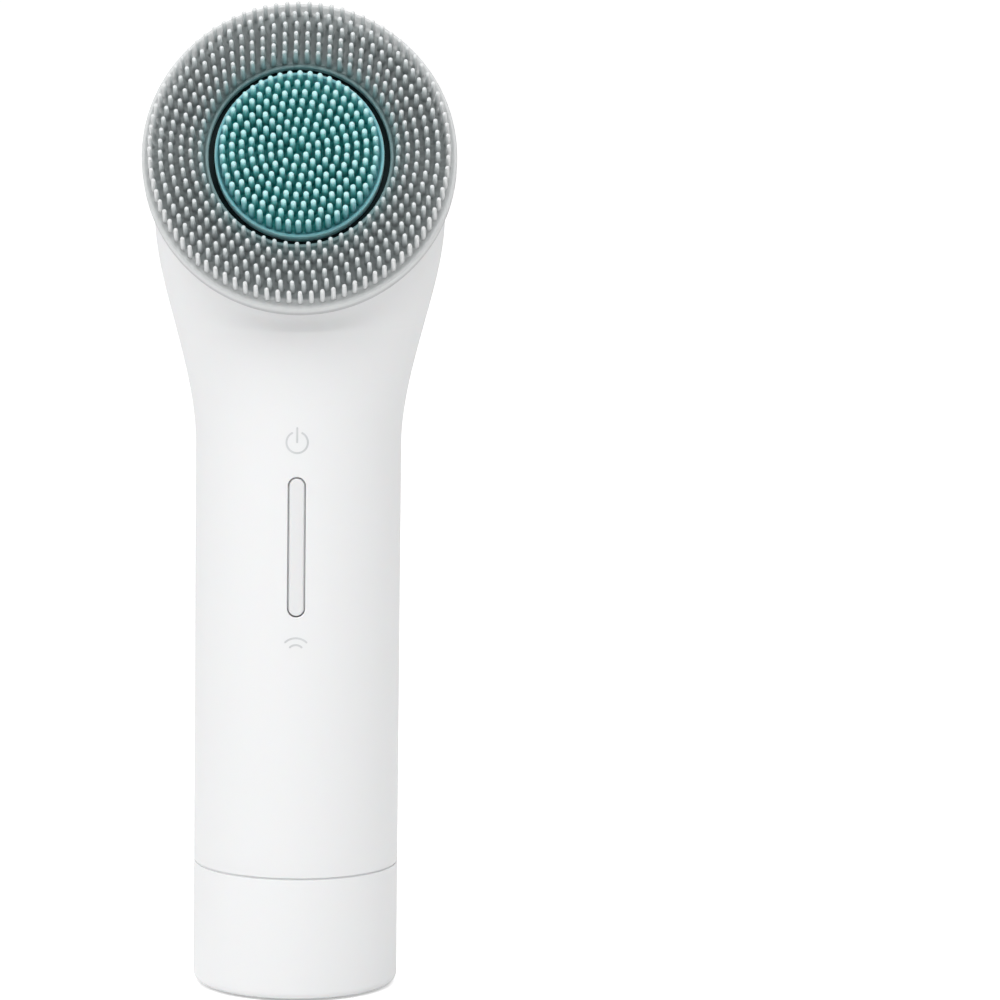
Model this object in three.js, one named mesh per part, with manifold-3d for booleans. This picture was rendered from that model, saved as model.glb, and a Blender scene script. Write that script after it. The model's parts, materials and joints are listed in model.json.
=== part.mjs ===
// A facial cleansing brush: an upright handle whose top curves forward into a tilted round head.
// The head carries a ring of bristles and, inside the ring, a disc of bristles that turns the other way.
// Millimetres, +Z up, the front faces -Y, and the origin is the centre of the face the brush stands on.
import * as THREE from "three";
import { mergeVertices } from "three/addons/utils/BufferGeometryUtils.js";
import Module from "manifold-3d";

const wasm = await Module();
wasm.setup();

// ---- Driving dimensions of the body ----
const HANDLE_RADIUS = 18;
const HEAD_RADIUS = 25.3; // rim of the shell behind the bristle ring
const WALL = 2;
const CAP_HEIGHT = 21.8; // the twist-off cap at the foot of the handle
const SHELL_BOTTOM = CAP_HEIGHT + 0.3;
const HEAD_TILT = THREE.MathUtils.degToRad(20.3); // the brush face leans back from upright by this
const HEAD_Y = -10.76; // centre of the shell's rim
const HEAD_Z = 147.04;
const PIVOT_REACH = 31; // from the rim's centre down to the line that the bent sections fan out from
const FLARE_START = 96.2; // the shell widens between these heights
const FLARE_END = 137.8;

// ---- Driving dimensions of the brushes, as heights along the head's axis above the shell's rim ----
const RING_RADIUS = 27.15;
const RING_HOLE = 15.65;
const DISC_RADIUS = 14.6;
const FACE = 2.8; // silicone surface that the bristles grow from
const BRISTLE_LENGTH = 6.9;
const BRISTLE_RADIUS = 0.5;
const TIPS = FACE + BRISTLE_LENGTH;
const RING_ROWS = [17, 25.6]; // radius of the first and the last row of bristles on the ring
const DISC_LAST_ROW = 13.2;
const LIP = 0.35; // width of the low lips at the edges of the ring and the disc, at their tops
const RING_LIP_TOP = 3.45;
const HOLE_LIP_TOP = 3.6;
const DISC_LIP_TOP = 4.4;
const SKIRT_BOTTOM = -1.2; // the ring's edge reaches down past the shell's rim
const SKIRT_INSIDE = 26;

// ---- Gear train: motor pinion > wheel, wheel's pinion > ring gear, and > idler > disc gear ----
const MODULE = 0.5;
const PRESSURE_ANGLE = THREE.MathUtils.degToRad(25);
const ADDENDUM = 0.8 * MODULE;
const DEDENDUM = 1.05 * MODULE;
const BACKLASH = 0.07;
const MOTOR_TEETH = 10;
const WHEEL_TEETH = 40;
const PINION_TEETH = 12;
const IDLER_TEETH = 20;
const RING_TEETH = 48;
const DISC_TEETH = 36;
const DECK = [-3, -1];
const RING_GEAR = [-7, -5];
const DISC_GEAR = [-10.6, -8.6];
const WHEEL = [-13.4, -11.9];
const PLATE = [-16.1, -14.6];
const AXLE_RADIUS = 0.75;
const AXLE_BORE = 0.9;
const DISC_SHAFT_RADIUS = 2;
const SLEEVE_RADIUS = 4.6; // hollow shaft of the ring gear, round the disc's shaft
const MOTOR_RADIUS = 7.75;
const MOTOR_HALF_FLAT = 6;
const MOTOR = [-34.6, -16.4];

// ---- Handle: key, board, cell ----
const KEY_Z = 80.6;
const KEY_LENGTH = 24.1;
const KEY_WIDTH = 2.6;
const KEY_CLEARANCE = 0.25;
const KEY_PIN_Y = -13.7;
const SWITCH_OFFSET = 10;
const LIGHT_OFFSET = 18.4; // from the key's middle to the light behind each mark
const BOARD_FRONT = -9.5;
const BOARD_BACK = -8.1;
const CELL_RADIUS = 7;
const CELL_Y = 8.2;
const CELL = [28.5, 78.5];
const INNER_RADIUS = HANDLE_RADIUS - WALL;
const SCREW_SHANK = 0.7;

const FINE = 36; // facets round a large turned piece
const COARSE = 12; // facets round a pin or a screw

// ---- Geometry helpers ----
function toSolid(geometry) {
  const bare = geometry.index ? geometry.toNonIndexed() : geometry.clone();
  bare.deleteAttribute("normal");
  bare.deleteAttribute("uv");
  const merged = mergeVertices(bare, 1e-4);
  const corners = [];
  const index = merged.index.array;
  for (let i = 0; i < index.length; i += 3) {
    const face = [index[i], index[i + 1], index[i + 2]];
    if (new Set(face).size === 3) corners.push(...face);
  }
  const vertProperties = merged.attributes.position.array;
  return new wasm.Manifold(new wasm.Mesh({ numProp: 3, vertProperties, triVerts: new Uint32Array(corners) }));
}

function toGeometry(solid) {
  const mesh = solid.getMesh();
  const geometry = new THREE.BufferGeometry();
  geometry.setAttribute("position", new THREE.BufferAttribute(mesh.vertProperties.slice(), 3));
  geometry.setIndex(new THREE.BufferAttribute(mesh.triVerts.slice(), 1));
  geometry.computeVertexNormals();
  return geometry;
}

function join(first, ...others) {
  return toGeometry(others.reduce((sum, other) => sum.add(toSolid(other)), toSolid(first)));
}

function cut(first, ...tools) {
  return toGeometry(tools.reduce((rest, tool) => rest.subtract(toSolid(tool)), toSolid(first)));
}

// A solid of revolution about +Z. The profile lists [radius, height], anticlockwise.
function turned(profile, facets = FINE) {
  const points = profile.map(([radius, height]) => new THREE.Vector2(radius, height));
  return new THREE.LatheGeometry(points, facets).rotateX(Math.PI / 2);
}

function rod(radius, [low, high], facets = COARSE) {
  return turned([[0, low], [radius, low], [radius, high], [0, high]], facets);
}

function sleeve(inner, outer, [low, high], facets = FINE) {
  return turned([[inner, low], [outer, low], [outer, high], [inner, high], [inner, low]], facets);
}

function block([left, right], [front, back], [low, high]) {
  const box = new THREE.BoxGeometry(right - left, back - front, high - low);
  return box.translate((left + right) / 2, (front + back) / 2, (low + high) / 2);
}

function extruded(shape, [low, high], curveSegments = 6) {
  const options = { depth: high - low, bevelEnabled: false, curveSegments };
  return new THREE.ExtrudeGeometry(shape, options).translate(0, 0, low);
}

// An outline drawn in x and z, standing upright and as thick as the given span of y.
function upright(shape, [front, back]) {
  return extruded(shape, [0, back - front]).rotateX(Math.PI / 2).translate(0, back, 0);
}

// The outline of a string drawn tight round equal circles, whose centres run anticlockwise.
function roundedOutline(centres, radius) {
  const shape = new THREE.Shape();
  centres.forEach(([x, y], i) => {
    const [beforeX, beforeY] = centres.at(i - 1);
    const [afterX, afterY] = centres[(i + 1) % centres.length];
    const start = Math.atan2(y - beforeY, x - beforeX) - Math.PI / 2;
    const end = Math.atan2(afterY - y, afterX - x) - Math.PI / 2;
    shape.absarc(x, y, radius, start, end, false);
  });
  return shape;
}

function capsule(width, length) {
  const half = (length - width) / 2;
  return roundedOutline([[0, -half], [0, half]], width / 2);
}

function roundedRectangle(width, height, corner) {
  const x = width / 2 - corner;
  const y = height / 2 - corner;
  return roundedOutline([[-x, -y], [x, -y], [x, y], [-x, y]], corner);
}

// Part of a ring, between two radii and two angles in degrees.
function ringSector(inner, outer, [from, to], span) {
  const [start, end] = [from, to].map(THREE.MathUtils.degToRad);
  const shape = new THREE.Shape();
  shape.absarc(0, 0, outer, start, end, false);
  shape.absarc(0, 0, inner, end, start, true);
  return extruded(shape, span, 8);
}

// A solid through a list of rings of points, with flat ends.
function loft(rings) {
  const count = rings[0].length;
  const last = (rings.length - 1) * count;
  const faces = [];
  for (let base = 0; base < last; base += count) {
    for (let i = 0; i < count; i++) {
      const a = base + i;
      const b = base + ((i + 1) % count);
      faces.push(a, b, b + count, a, b + count, a + count);
    }
  }
  for (let i = 1; i < count - 1; i++) {
    faces.push(0, i + 1, i);
    faces.push(last, last + i, last + i + 1);
  }
  const geometry = new THREE.BufferGeometry().setFromPoints(rings.flat());
  return geometry.setIndex(faces);
}

// ---- The head's own frame: +Z along the brushes' axis, +Y up across the face ----
const headFrame = new THREE.Group();
headFrame.position.set(0, HEAD_Y, HEAD_Z);
headFrame.rotation.x = Math.PI / 2 - HEAD_TILT;
headFrame.updateMatrix();

function inHead(geometry) {
  return geometry.applyMatrix4(headFrame.matrix);
}

// ---- Shell: round sections up the handle, then sections that fan forward to the tilted rim ----
const BEND = Math.PI / 2 - HEAD_TILT;
const PIVOT_Y = HEAD_Y - PIVOT_REACH * Math.sin(HEAD_TILT);
const PIVOT_Z = HEAD_Z - PIVOT_REACH * Math.cos(HEAD_TILT);

function halfWidthAt(height) {
  const share = THREE.MathUtils.smoothstep(height, FLARE_START, FLARE_END);
  return THREE.MathUtils.lerp(HANDLE_RADIUS, HEAD_RADIUS, share);
}

// One section of the body: an ellipse in a plane that leans forward by angle from level.
function bodySection({ y, z, angle, halfDepth, halfWidth }, inset) {
  const ring = [];
  for (let i = 0; i < FINE; i++) {
    const turn = (2 * Math.PI * i) / FINE;
    const across = (halfWidth - inset) * Math.cos(turn);
    const along = (halfDepth - inset) * Math.sin(turn);
    ring.push(new THREE.Vector3(across, y + along * Math.cos(angle), z + along * Math.sin(angle)));
  }
  return ring;
}

function handleStation(height) {
  return { y: 0, z: height, angle: 0, halfDepth: HANDLE_RADIUS, halfWidth: halfWidthAt(height) };
}

function bendStation(share) {
  const angle = share * BEND;
  const blend = THREE.MathUtils.smoothstep(share, 0, 1);
  const reach = THREE.MathUtils.lerp(-PIVOT_Y, PIVOT_REACH, blend);
  const y = PIVOT_Y + reach * Math.cos(angle);
  const z = PIVOT_Z + reach * Math.sin(angle);
  const halfDepth = THREE.MathUtils.lerp(HANDLE_RADIUS, HEAD_RADIUS, blend);
  return { y, z, angle, halfDepth, halfWidth: halfWidthAt(z) };
}

function bodyStations(bottom) {
  const handle = [handleStation(bottom)];
  const steps = 4;
  for (let i = 0; i < steps; i++) {
    handle.push(handleStation(THREE.MathUtils.lerp(FLARE_START, PIVOT_Z, i / steps)));
  }
  const bends = 10;
  const bend = Array.from({ length: bends + 1 }, (_, i) => bendStation(i / bends));
  return [...handle, ...bend];
}

const DECK_SCREW_RADIUS = 20.8;
const deckScrewPlaces = [90, 200, 340].map((degrees) => {
  const angle = THREE.MathUtils.degToRad(degrees);
  return [DECK_SCREW_RADIUS * Math.cos(angle), DECK_SCREW_RADIUS * Math.sin(angle)];
});

function mainShell() {
  const outside = loft(bodyStations(SHELL_BOTTOM).map((station) => bodySection(station, 0)));
  const rings = bodyStations(SHELL_BOTTOM - 1).map((station) => bodySection(station, WALL));
  const beyondRim = new THREE.Vector3(0, -Math.cos(HEAD_TILT), Math.sin(HEAD_TILT));
  rings.push(rings.at(-1).map((point) => point.clone().add(beyondRim)));
  const slot = upright(capsule(KEY_WIDTH + 2 * KEY_CLEARANCE, KEY_LENGTH + 2 * KEY_CLEARANCE), [-20, -14]);
  const hollow = cut(outside, loft(rings), slot.translate(0, 0, KEY_Z));
  const bosses = deckScrewPlaces.map(([x, y]) => inHead(rod(2.9, [-7.5, DECK[0] - 0.3]).translate(x, y, 0)));
  const pilots = deckScrewPlaces.map(([x, y]) => inHead(rod(0.9, [-7, 0]).translate(x, y, 0)));
  return cut(join(hollow, ...bosses), ...pilots);
}

// ---- Gears ----
const involute = (angle) => Math.tan(angle) - angle;
const pitchRadius = (teeth) => (MODULE * teeth) / 2;

// The outline of a spur gear with a tooth centred on the given angle.
function gearOutline(teeth, phase) {
  const pitch = pitchRadius(teeth);
  const base = pitch * Math.cos(PRESSURE_ANGLE);
  const halfAtPitch = Math.PI / (2 * teeth) - BACKLASH / (2 * pitch);
  const halfAngle = (radius) =>
    halfAtPitch + involute(PRESSURE_ANGLE) - involute(Math.acos(base / Math.max(radius, base)));
  const flank = [pitch - DEDENDUM, pitch, pitch + ADDENDUM];
  const points = [];
  for (let tooth = 0; tooth < teeth; tooth++) {
    const centre = phase + (2 * Math.PI * tooth) / teeth;
    const rising = flank.map((radius) => [radius, centre - halfAngle(radius)]);
    const falling = flank.map((radius) => [radius, centre + halfAngle(radius)]).reverse();
    for (const [radius, angle] of [...rising, ...falling]) {
      points.push(new THREE.Vector2(radius * Math.cos(angle), radius * Math.sin(angle)));
    }
  }
  return new THREE.Shape(points);
}

function gear(teeth, phase, bore, span) {
  const shape = gearOutline(teeth, phase);
  const hole = new THREE.Path();
  hole.absarc(0, 0, bore, 0, 2 * Math.PI, true);
  shape.holes.push(hole);
  return extruded(shape, span, COARSE / 2);
}

// The phase that puts a gear in mesh with its driver, seen from the driver in the given direction.
function meshedPhase(driverPhase, driverTeeth, direction, teeth) {
  const driverPitch = (2 * Math.PI) / driverTeeth;
  const share = (direction - driverPhase) / driverPitch;
  return direction + Math.PI - (0.5 - share) * ((2 * Math.PI) / teeth);
}

const wheelAxis = [0, -(pitchRadius(PINION_TEETH) + pitchRadius(RING_TEETH))];
const motorAxis = [0, wheelAxis[1] - pitchRadius(WHEEL_TEETH) - pitchRadius(MOTOR_TEETH)];
const idlerAxis = (() => {
  const toDisc = pitchRadius(IDLER_TEETH) + pitchRadius(DISC_TEETH);
  const toWheel = pitchRadius(IDLER_TEETH) + pitchRadius(PINION_TEETH);
  const y = (toWheel ** 2 - toDisc ** 2 - wheelAxis[1] ** 2) / (-2 * wheelAxis[1]);
  return [Math.sqrt(toDisc ** 2 - y ** 2), y];
})();
const directionTo = ([fromX, fromY], [toX, toY]) => Math.atan2(toY - fromY, toX - fromX);
const headAxis = [0, 0];
const pinionPhase = 0;
const wheelPhase = 0;
const ringPhase = meshedPhase(pinionPhase, PINION_TEETH, directionTo(wheelAxis, headAxis), RING_TEETH);
const idlerPhase = meshedPhase(pinionPhase, PINION_TEETH, directionTo(wheelAxis, idlerAxis), IDLER_TEETH);
const discPhase = meshedPhase(idlerPhase, IDLER_TEETH, directionTo(idlerAxis, headAxis), DISC_TEETH);
const motorPhase = meshedPhase(wheelPhase, WHEEL_TEETH, directionTo(wheelAxis, motorAxis), MOTOR_TEETH);

function ringGear() {
  const teeth = gear(RING_TEETH, ringPhase, SLEEVE_RADIUS - 1, RING_GEAR);
  const tube = turned([
    [DISC_SHAFT_RADIUS + 0.3, RING_GEAR[0]],
    [SLEEVE_RADIUS, RING_GEAR[0]],
    [SLEEVE_RADIUS, 0.2],
    [3.5, 0.2],
    [3.5, -1.6],
    [DISC_SHAFT_RADIUS + 0.3, -1.6],
    [DISC_SHAFT_RADIUS + 0.3, RING_GEAR[0]],
  ], 32);
  return join(teeth, tube);
}

function discGear() {
  return gear(DISC_TEETH, discPhase, DISC_SHAFT_RADIUS + 0.15, DISC_GEAR);
}

function idlerGear() {
  return gear(IDLER_TEETH, idlerPhase, AXLE_BORE, DISC_GEAR);
}

function reductionWheel() {
  const wheel = gear(WHEEL_TEETH, wheelPhase, AXLE_BORE, WHEEL);
  const pinion = gear(PINION_TEETH, pinionPhase, AXLE_BORE, [WHEEL[1] - 0.5, RING_GEAR[1] + 0.1]);
  return join(wheel, pinion);
}

function motorPinion() {
  return gear(MOTOR_TEETH, motorPhase, AXLE_RADIUS + 0.1, [WHEEL[0] - 0.2, WHEEL[1] + 0.2]);
}

// ---- Gearbox: a deck that closes the shell's rim, with posts down to the motor plate ----
const POST_RADIUS = 1.9;
const postPlaces = [[15.5, 6], [-15.5, 6], [-15, -13.2], [15, -13.2]];
const motorScrewPlaces = [[5, motorAxis[1]], [-5, motorAxis[1]]];
const AXLE_TOP = DECK[1] - 0.8;

function gearboxDeck() {
  const edge = 22.8;
  const disc = turned([
    [4, DECK[0] - 1.6],
    [8.6, DECK[0] - 1.6],
    [8.6, DECK[0]],
    [edge, DECK[0]],
    [edge, -2.5],
    [edge - 1.2, -2.5],
    [edge - 1.2, -1.5],
    [edge, -1.5],
    [edge, DECK[1]],
    [4, DECK[1]],
    [4, DECK[0] - 1.6],
  ]);
  const posts = postPlaces.map(([x, y]) => rod(POST_RADIUS, [PLATE[1] + 0.1, DECK[0] + 0.5]).translate(x, y, 0));
  const holes = [
    rod(6.2, [-6, -2], 32),
    rod(7.2, [-2.4, 0], 32),
    ...postPlaces.map(([x, y]) => rod(0.9, [-16, -9.5]).translate(x, y, 0)),
    ...deckScrewPlaces.map(([x, y]) => rod(1, [-4, 0]).translate(x, y, 0)),
    ...[wheelAxis, idlerAxis].map(([x, y]) => rod(AXLE_BORE, [-4, AXLE_TOP + 0.2]).translate(x, y, 0)),
  ];
  return cut(join(disc, ...posts), ...holes);
}

function motorPlate() {
  const corners = [[15.4, 5.6], [-15.4, 5.6], [-15, -13.4], [-6, -33], [6, -33], [15, -13.4]];
  const holes = [
    rod(3.5, [-17, -14], 32),
    rod(AXLE_BORE, [-17, -14]).translate(wheelAxis[0], wheelAxis[1], 0),
    rod(2.9, [-17, -14]).translate(motorAxis[0], motorAxis[1], 0),
    ...postPlaces.map(([x, y]) => rod(1, [-17, -14]).translate(x, y, 0)),
    ...motorScrewPlaces.map(([x, y]) => rod(1, [-17, -14]).translate(x, y, 0)),
  ];
  return cut(extruded(roundedOutline(corners, 2.2), PLATE), ...holes);
}

// The motor's can is round with two flats, and stands on its own axis here.
function motorCan() {
  const flat = Math.asin(MOTOR_HALF_FLAT / MOTOR_RADIUS);
  const outline = new THREE.Shape();
  outline.absarc(0, 0, MOTOR_RADIUS, -flat, flat, false);
  outline.absarc(0, 0, MOTOR_RADIUS, Math.PI - flat, Math.PI + flat, false);
  const can = join(extruded(outline, MOTOR, 10), rod(2.6, [MOTOR[0] - 1, MOTOR[1] + 1.3]));
  const screwHoles = motorScrewPlaces.map(([x]) => rod(0.9, [MOTOR[1] - 2.4, MOTOR[1] + 1]).translate(x, 0, 0));
  return cut(can, rod(AXLE_BORE, [MOTOR[0] - 3, MOTOR[1] + 3]), ...screwHoles);
}

function rearBushing() {
  const bore = DISC_SHAFT_RADIUS + 0.15;
  const flange = PLATE[1] + 0.2;
  const profile = [
    [bore, PLATE[0]],
    [3.3, PLATE[0]],
    [3.3, flange],
    [4.3, flange],
    [4.3, flange + 0.5],
    [bore, flange + 0.5],
    [bore, PLATE[0]],
  ];
  return turned(profile, 24);
}

function sealRing(inner, outer, [low, high], facets = FINE) {
  const bevel = (high - low) / 4;
  const profile = [
    [inner + bevel, low],
    [outer - bevel, low],
    [outer, low + bevel],
    [outer, high - bevel],
    [outer - bevel, high],
    [inner + bevel, high],
    [inner, high - bevel],
    [inner, low + bevel],
    [inner + bevel, low],
  ];
  return turned(profile, facets);
}

// A screw along +Z with its head's underside at the given height; the shank points down.
function screw(headRadius, headHeight, under, length) {
  const profile = [
    [0, under - length],
    [SCREW_SHANK, under - length + 0.5],
    [SCREW_SHANK, under],
    [headRadius, under],
    [headRadius, under + headHeight * 0.6],
    [headRadius * 0.7, under + headHeight],
    [0, under + headHeight],
  ];
  const slot = block([-headRadius, headRadius], [-0.25, 0.25], [under + headHeight * 0.6, under + headHeight + 1]);
  return cut(turned(profile, 12), slot);
}

// ---- Brushes: a carrier plate under each silicone pad. The bristles stand as one solid block here ----
function ringCarrier() {
  return turned([
    [SLEEVE_RADIUS + 0.2, -0.6],
    [16.9, -0.6],
    [16.9, 0.6],
    [24.4, 0.6],
    [24.4, 1.7],
    [RING_HOLE + 0.15, 1.7],
    [RING_HOLE + 0.15, 0.3],
    [SLEEVE_RADIUS + 0.2, 0.3],
    [SLEEVE_RADIUS + 0.2, -0.6],
  ]);
}

function ringPad() {
  const fieldInside = RING_ROWS[0] - BRISTLE_RADIUS;
  const fieldOutside = RING_ROWS[1] + BRISTLE_RADIUS;
  return turned([
    [RING_HOLE, 1.85],
    [24.6, 1.85],
    [24.6, 0.6],
    [SKIRT_INSIDE, 0.6],
    [SKIRT_INSIDE, SKIRT_BOTTOM],
    [RING_RADIUS - 0.4, SKIRT_BOTTOM],
    [RING_RADIUS, SKIRT_BOTTOM + 0.4],
    [RING_RADIUS, RING_LIP_TOP],
    [RING_RADIUS - LIP, RING_LIP_TOP],
    [fieldOutside, FACE],
    [fieldOutside, TIPS],
    [fieldInside, TIPS],
    [fieldInside, FACE],
    [RING_HOLE + LIP, HOLE_LIP_TOP],
    [RING_HOLE, HOLE_LIP_TOP],
    [RING_HOLE, 1.85],
  ]);
}

function discCarrier() {
  return turned([
    [0, 1.6],
    [DISC_SHAFT_RADIUS + 0.15, 1.6],
    [DISC_SHAFT_RADIUS + 0.15, 0.45],
    [3.6, 0.45],
    [3.6, 0.7],
    [DISC_RADIUS - 0.9, 0.7],
    [DISC_RADIUS - 0.9, 2],
    [0, 2],
  ]);
}

function discPad() {
  const fieldOutside = DISC_LAST_ROW + BRISTLE_RADIUS;
  return turned([
    [0, 2.15],
    [DISC_RADIUS - 0.75, 2.15],
    [DISC_RADIUS - 0.75, 0.9],
    [DISC_RADIUS, 0.9],
    [DISC_RADIUS, DISC_LIP_TOP],
    [DISC_RADIUS - LIP, DISC_LIP_TOP],
    [fieldOutside, FACE],
    [fieldOutside, TIPS],
    [0, TIPS],
  ]);
}

// ---- Foot of the handle: a twist-off cap on a bayonet, over the plug that holds the charging port ----
const SPIGOT_RADIUS = 15.6;
const LUG_HALF_ANGLE = 8;
const LUG_ANGLES = [0, 120, 240];
const CAP_TWIST = 40; // degrees from locked to free
const LUG_SPAN = [12.1, 13.9];
const SLOT_CLEARANCE = 0.4;

function baseCap() {
  const fillet = 1.5;
  const underside = 0.3;
  const edge = Array.from({ length: 5 }, (_, i) => {
    const angle = ((i / 4 - 1) * Math.PI) / 2;
    const radius = HANDLE_RADIUS - fillet + fillet * Math.cos(angle);
    return [radius, underside + fillet + fillet * Math.sin(angle)];
  });
  const cup = turned([
    [0, 1.15],
    [15.6, 1.15],
    [15.6, underside],
    ...edge,
    [HANDLE_RADIUS, CAP_HEIGHT],
    [INNER_RADIUS, CAP_HEIGHT],
    [INNER_RADIUS, 2.8],
    [0, 2.8],
  ]);
  const lugs = LUG_ANGLES.map((angle) =>
    ringSector(14.6, INNER_RADIUS + 0.4, [angle - LUG_HALF_ANGLE, angle + LUG_HALF_ANGLE], LUG_SPAN));
  return join(cup, ...lugs);
}

function endPlug() {
  const bottom = 8;
  const floor = 20.2;
  const body = turned([
    [0, floor],
    [13.2, floor],
    [13.2, bottom],
    [SPIGOT_RADIUS, bottom],
    [SPIGOT_RADIUS, 17.8],
    [14.5, 17.8],
    [14.5, 19.4],
    [SPIGOT_RADIUS, 19.4],
    [SPIGOT_RADIUS, 28.2],
    [13.8, 28.2],
    [13.8, 22.8],
    [0, 22.8],
  ]);
  const reach = LUG_HALF_ANGLE + 1.5;
  const slotLevel = [LUG_SPAN[0] - SLOT_CLEARANCE, LUG_SPAN[1] + SLOT_CLEARANCE];
  const bayonet = LUG_ANGLES.flatMap((angle) => [
    ringSector(14.3, 16.2, [angle - reach, angle + CAP_TWIST + reach], slotLevel),
    ringSector(14.3, 16.2, [angle + CAP_TWIST - reach, angle + CAP_TWIST + reach], [bottom - 1, slotLevel[1]]),
  ]);
  const portHole = block([-4.9, 4.9], [-8.35, -4.25], [19, 24]);
  const screwHoles = plugScrewPlaces.map(([x, y]) => rod(1, [19, 24]).translate(x, y, 0));
  return cut(body, ...bayonet, portHole, ...screwHoles);
}

const plugScrewPlaces = [[8, 3.2], [-8, 3.2]];

function chargePort() {
  const shell = block([-4.45, 4.45], [-7.9, -4.7], [19.2, 27]);
  const mouth = block([-4.05, 4.05], [-7.5, -5.1], [18, 25]);
  const tongue = block([-3.2, 3.2], [-6.6, -6], [20, 25.5]);
  return join(cut(shell, mouth), tongue);
}

// ---- Handle internals ----
function cellSled() {
  const spine = block([-13, 13], [-1.4, 0.2], [23.4, 95]);
  const foot = block([-11, 11], [0, 6], [23.4, 27.2]);
  const rails = [-1, 1].map((side) => block([side * 10.25 - 0.75, side * 10.25 + 0.75], [-7.95, -1], [29, 94]));
  const cradles = [38, 68].map((low) => block([-9.5, 9.5], [0, 8], [low, low + 3]));
  const cell = rod(CELL_RADIUS + 0.25, [28, 80], 32).translate(0, CELL_Y, 0);
  const screwHoles = plugScrewPlaces.map(([x, y]) => rod(0.9, [23, 28]).translate(x, y, 0));
  return cut(join(spine, foot, ...rails, ...cradles), cell, ...screwHoles);
}

function cell() {
  const [low, high] = CELL;
  const profile = [
    [0, low],
    [CELL_RADIUS - 0.6, low],
    [CELL_RADIUS, low + 0.6],
    [CELL_RADIUS, high - 1.6],
    [CELL_RADIUS - 0.6, high - 1],
    [2.4, high - 1],
    [2.4, high],
    [0, high],
  ];
  return turned(profile, 32).translate(0, CELL_Y, 0);
}

function circuitBoard() {
  const board = block([-11.5, 11.5], [BOARD_FRONT, BOARD_BACK], [28.6, 101]);
  const tongue = block([-6, 6], [BOARD_FRONT, BOARD_BACK], [24, 29]);
  return join(board, tongue);
}

function keySwitch(height) {
  const body = block([-2.2, 2.2], [-11.1, BOARD_FRONT - 0.1], [height - 2.2, height + 2.2]);
  const plunger = rod(1.2, [9.6, 11.7]).rotateX(Math.PI / 2).translate(0, 0, height);
  return join(body, plunger);
}

function boardLight(height) {
  return block([-0.9, 0.9], [-10.5, BOARD_FRONT - 0.1], [height - 0.7, height + 0.7]);
}

function crossPin(radius, halfLength, facets = COARSE) {
  return rod(radius, [-halfLength, halfLength], facets).rotateY(Math.PI / 2).translate(0, KEY_PIN_Y, KEY_Z);
}

function rockerKey() {
  const stem = upright(capsule(KEY_WIDTH, KEY_LENGTH), [0.05 - HANDLE_RADIUS, -14.6]).translate(0, 0, KEY_Z);
  const flange = upright(roundedRectangle(7.4, 28, 1.5), [-15, -14.2]).translate(0, 0, KEY_Z);
  const feet = [-1, 1].map((end) => {
    const height = KEY_Z + end * SWITCH_OFFSET;
    return block([-1.3, 1.3], [-14.5, -12.8], [height - 1.3, height + 1.3]);
  });
  return cut(join(stem, flange, ...feet, crossPin(1.15, 3.4)), crossPin(0.75, 8));
}

function keyFrame() {
  const span = [-12.4, -11.2];
  const outline = roundedRectangle(13.6, 33, 2);
  const window = upright(roundedRectangle(8.4, 29, 1), [-13, -11]).translate(0, 0, KEY_Z);
  const ears = [-1, 1].map((side) =>
    block([side * 4.85 - 0.6, side * 4.85 + 0.6], [-14.75, -11.8], [KEY_Z - 1.5, KEY_Z + 1.5]));
  const legs = [-1, 1].flatMap((side) => [-1, 1].map((end) => {
    const [x, z] = [side * 5.5, KEY_Z + end * 15];
    return block([x - 0.8, x + 0.8], [-12, BOARD_FRONT - 0.1], [z - 0.8, z + 0.8]);
  }));
  const frame = cut(upright(outline, span).translate(0, 0, KEY_Z), window);
  return cut(join(frame, ...ears, ...legs), crossPin(0.72, 8));
}

function keyBoot() {
  const sheet = upright(roundedRectangle(8, 28.4, 0.8), [-12.4, -11.95]).translate(0, 0, KEY_Z);
  const relief = crossPin(1.6, 8);
  return cut(sheet, relief);
}

// A lead from just above one point to the back of the circuit board, through the points between.
function lead(points) {
  const path = new THREE.CatmullRomCurve3(points.map((point) => new THREE.Vector3(...point)));
  const section = new THREE.Shape();
  section.absarc(0, 0, 0.55, 0, 2 * Math.PI, false);
  return new THREE.ExtrudeGeometry(section, { steps: 18, extrudePath: path, curveSegments: 4 });
}

function cellLead(side) {
  return lead([
    [side * 3.6, CELL_Y, CELL[1] + 0.2],
    [side * 4.5, CELL_Y, 86],
    [side * 8, 5.5, 93],
    [side * 8, 1, 97.4],
    [side * 8, -3.5, 97.4],
    [side * 8, -6.6, 95.6],
    [side * 8, BOARD_BACK + 0.2, 95],
  ]);
}

function motorLead(side) {
  return lead([
    [side * 4.5, 12.6, HEAD_Z - 38.2],
    [side * 4.6, 13.2, HEAD_Z - 41.5],
    [side * 4.8, 10, 98.6],
    [side * 5, 3, 97.6],
    [side * 5, -3.5, 97.6],
    [side * 5, -6.6, 95.8],
    [side * 5, BOARD_BACK + 0.2, 95.2],
  ]);
}

// ---- Materials ----
function material(color, roughness, metalness = 0) {
  return new THREE.MeshStandardMaterial({ color, roughness, metalness });
}

const whitePlastic = material(0xf2f2f2, 0.35);
const keyPlastic = material(0xe6e6e6, 0.4);
const darkPlastic = material(0x1c2422, 0.5);
const greySilicone = material(0xb4b5b6, 0.6);
const tealSilicone = material(0x46b3a3, 0.55);
const blackRubber = material(0x26292b, 0.8);
const naturalPlastic = material(0xd8d6ce, 0.55);
const gearPlastic = material(0xe9e4d2, 0.45);
const steel = material(0xb9bcc0, 0.3, 1);
const bronze = material(0xb08a4a, 0.4, 1);
const boardGreen = material(0x1f6b3d, 0.5);
const cellWrap = material(0x2e6fb0, 0.4);
const redLead = material(0xb3261e, 0.5);
const blackLead = material(0x1b1b1b, 0.5);

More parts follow.
